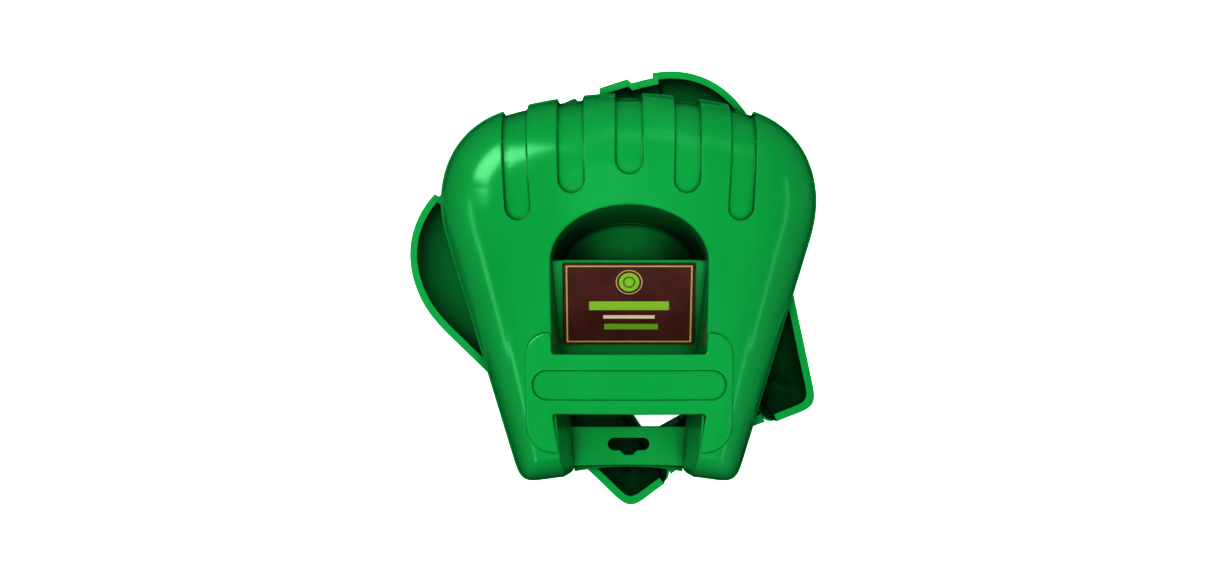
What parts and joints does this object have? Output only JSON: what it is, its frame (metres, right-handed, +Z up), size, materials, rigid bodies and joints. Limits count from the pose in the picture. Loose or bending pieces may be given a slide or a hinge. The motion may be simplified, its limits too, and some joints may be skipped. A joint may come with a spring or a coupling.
{
  "type": "pair of hand-worn leaf scoops",
  "caption": "Pair of domed plastic leaf scoops laid rim to rim, each with a finger pocket, palm plate, arm brace and heel hanger tab, with a printed card on one palm plate.",
  "frame": {"origin": "middle of the bounding box's base: the surface that the pair lies on", "axes": "+Z up through both scoops, from the rear scoop's back to the front scoop's back; +Y along the front scoop towards its finger tips; +X to the right of its back"},
  "size_m": [0.3894, 0.4156, 0.181],
  "materials": {
    "green_plastic": "glossy injection-moulded polypropylene, self-coloured green",
    "printed_card": "thin glossy coated card, printed dark brown with a gold border"
  },
  "bodies": {
    "rear_scoop": {"rear_scoop_shell": "green_plastic", "rear_finger_pocket": "green_plastic", "rear_grip_plate": "green_plastic", "rear_arm_brace": "green_plastic", "rear_hanger_tab": "green_plastic"},
    "front_scoop": {"front_scoop_shell": "green_plastic", "front_finger_pocket": "green_plastic", "front_grip_plate": "green_plastic", "front_arm_brace": "green_plastic", "front_hanger_tab": "green_plastic"},
    "card": {"label_card": "printed_card"}
  },
  "joints": [
    {"name": "front_lift", "type": "slide", "parent": "rear_scoop", "child": "front_scoop", "axis": [0, 0, 1], "range_m": [0, 0.25]},
    {"name": "card_lift", "type": "slide", "parent": "front_scoop", "child": "card", "axis": [0, 0, 1], "range_m": [0, 0.08]}
  ]
}
